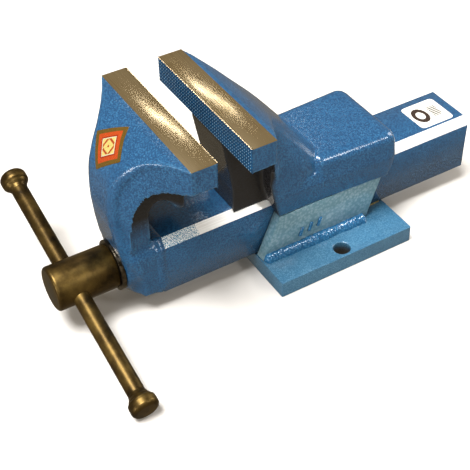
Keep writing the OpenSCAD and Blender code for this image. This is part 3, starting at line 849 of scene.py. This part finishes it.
def printed_paper():
    """Glossy white printed label: a plain dark ring on one side, a grey hatched block on the other."""
    mat, skin = finish_named("gloss_paper_label", Coat_Weight=0.5, Coat_Roughness=0.12, Roughness=0.45)
    place = add(mat, "ShaderNodeAttribute", attribute_name="print_at").outputs["Vector"]
    moved = add(mat, "ShaderNodeMapping", {"Vector": place, "Location": (7.5 * MM, 0, 0),
                                           "Scale": (1, 0.72, 0)})
    far = add(mat, "ShaderNodeVectorMath", {0: moved.outputs[0]}, operation="LENGTH")
    ring = add(mat, "ShaderNodeMath", {0: far.outputs["Value"], 1: 6.0 * MM, 2: 1.9 * MM},
               operation="COMPARE")
    split = add(mat, "ShaderNodeSeparateXYZ", {0: place})
    block_x = add(mat, "ShaderNodeMath", {0: split.outputs[0], 1: 8.5 * MM, 2: 4.6 * MM},
                  operation="COMPARE")
    block_y = add(mat, "ShaderNodeMath", {0: split.outputs[1], 1: 0.0, 2: 7.5 * MM},
                  operation="COMPARE")
    row = add(mat, "ShaderNodeMath", {0: split.outputs[1], 1: 1.2 * MM}, operation="PINGPONG")
    lines = add(mat, "ShaderNodeMath", {0: row.outputs[0], 1: 0.75 * MM}, operation="LESS_THAN")
    block = add(mat, "ShaderNodeMath", {0: block_x.outputs[0], 1: block_y.outputs[0]}, operation="MULTIPLY")
    hatch = add(mat, "ShaderNodeMath", {0: block.outputs[0], 1: lines.outputs[0]}, operation="MULTIPLY")
    grey = add(mat, "ShaderNodeMix", {0: hatch.outputs[0], 6: colour("dedbd4"), 7: colour("56524b")},
               data_type="RGBA")
    art = add(mat, "ShaderNodeMix", {0: ring.outputs[0], 6: grey.outputs[2], 7: colour("2a1c16")},
              data_type="RGBA")
    feed(mat, skin, Base_Color=art.outputs[2])
    return mat


foil_at = Vector((jaw_hi.x - 52.9 * MM, 3.7 * MM, 161.3 * MM))
foil = stuck_on("foil_label_sheet", moving, foil_at, Vector((1, 0, 1)), -48, (31 * MM, 31 * MM),
                1.0 * MM)
put(foil, "slide", "foil_label", printed_foil(), stands_for=["front_label"])
paper_lo, paper_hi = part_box("rear_label")
middle = Vector(((paper_lo.x + paper_hi.x) / 2, (paper_lo.y + paper_hi.y) / 2, beam_hi.z))
paper = stuck_on("paper_label_sheet", beam, middle, Vector((1, 0, 0)), 0,
                 (paper_hi.x - paper_lo.x, paper_hi.y - paper_lo.y), 4 * MM)
put(paper, "slide", "paper_label", printed_paper(), stands_for=["rear_label"])

# ---------------------------------------------------------------- floor, light, camera

floor_mat = finish_named("matt_white_board", Base_Color=colour("d1cdc8"), Roughness=0.8)[0]
FLOOR_REACH = 4
floor = from_data("floor", [(x * FLOOR_REACH, y * FLOOR_REACH, 0)
                            for x, y in ((-1, -1), (1, -1), (1, 1), (-1, 1))], [(0, 1, 2, 3)])
floor.location.z = -0.2 * MM
floor.data.materials.append(floor_mat)
# the white board lights the piece but does not show in its gloss, as in a dim room
floor.visible_glossy = False

# a far pale wall, seen only directly, so that low views have a plain background
wall_mat = finish_named("pale_wall", Base_Color=colour("000000"), Roughness=1.0,
                        Emission_Color=colour("f4f2ee"), Emission_Strength=1.0)[0]
WALL_RADIUS, WALL_HEIGHT, WALL_SIDES = 3.9, 4.0, 64
around = [2 * math.pi * k / WALL_SIDES for k in range(WALL_SIDES)]
wall = from_data("wall", [(WALL_RADIUS * math.cos(a), WALL_RADIUS * math.sin(a), z)
                          for z in (-0.01, WALL_HEIGHT) for a in around],
                 grid_faces(2, WALL_SIDES, round_columns=True))
wall.data.materials.append(wall_mat)
wall.visible_glossy = wall.visible_diffuse = wall.visible_shadow = False

world = bpy.data.worlds.new("studio")
bpy.context.scene.world = world
world.use_nodes = True
world.node_tree.nodes["Background"].inputs[0].default_value = colour("e6d3b0")
world.node_tree.nodes["Background"].inputs[1].default_value = 0.30


def softbox(name, place, at, size, power, tint="ffffff", roll=0):
    """A soft rectangular lamp at place, aimed at a point and turned by roll degrees."""
    lamp = bpy.data.lights.new(name, "AREA")
    lamp.shape = "RECTANGLE"
    lamp.size, lamp.size_y = size
    lamp.energy = power
    lamp.color = colour(tint)[:3]
    obj = in_scene(name, lamp)
    obj.location = place
    aim = (Vector(at) - Vector(place)).to_track_quat("-Z", "Y")
    obj.rotation_euler = (aim @ Quaternion((0, 0, 1), math.radians(roll))).to_euler()


# broad soft light from above, a little in front
key = bpy.data.lights.new("key", "SUN")
key.energy = 6.4
key.angle = math.radians(26)
in_scene("key", key).rotation_euler = Vector((0.52, 0.05, -1.57)).to_track_quat("-Z", "Y").to_euler()
# small cards: the sweep on the jaw tops, and the glints on the forgings' curves
softbox("side_fill", (1.5, -0.1, 0.8), (0.1, 0, 0.05), (0.7, 0.7), 12)
softbox("jaw_sweep", (0.345, 0.845, 0.87), (-0.11, 0.0, 0.175), (0.36, 0.05), 0.55, "fffaf2", -18)
softbox("ridge_glint", (0.50, -0.98, 0.92), (-0.02, -0.02, 0.07), (0.25, 0.25), 4.0)
softbox("low_card", (-1.3, -0.25, 0.15), (-0.18, -0.03, 0.15), (0.45, 0.25), 4.5)
softbox("front_glint", (-0.74, -1.04, 0.73), (-0.17, -0.04, 0.16), (0.14, 0.14), 2.4)

# The camera stands in front and to the left, looking down on the jaws.
YAW, PITCH_DOWN, ROLL = math.radians(-30.19), math.radians(42.25), math.radians(-1.26)
back = Vector((math.sin(YAW) * math.cos(PITCH_DOWN), -math.cos(YAW) * math.cos(PITCH_DOWN),
               math.sin(PITCH_DOWN)))
right = Vector((math.cos(YAW), math.sin(YAW), 0))
up = back.cross(right)
level_right = math.cos(ROLL) * right + math.sin(ROLL) * up
level_up = -math.sin(ROLL) * right + math.cos(ROLL) * up
lens = bpy.data.cameras.new("camera")
lens.sensor_width = 36
lens.lens = 80.63
camera = in_scene("camera", lens)
camera.matrix_world = Matrix((level_right, level_up, back)).transposed().to_4x4()
camera.location = (-0.4258, -0.6062, 0.6558)
bpy.context.scene.camera = camera
bpy.context.scene.view_settings.view_transform = "Standard"

bpy.context.view_layer.update()
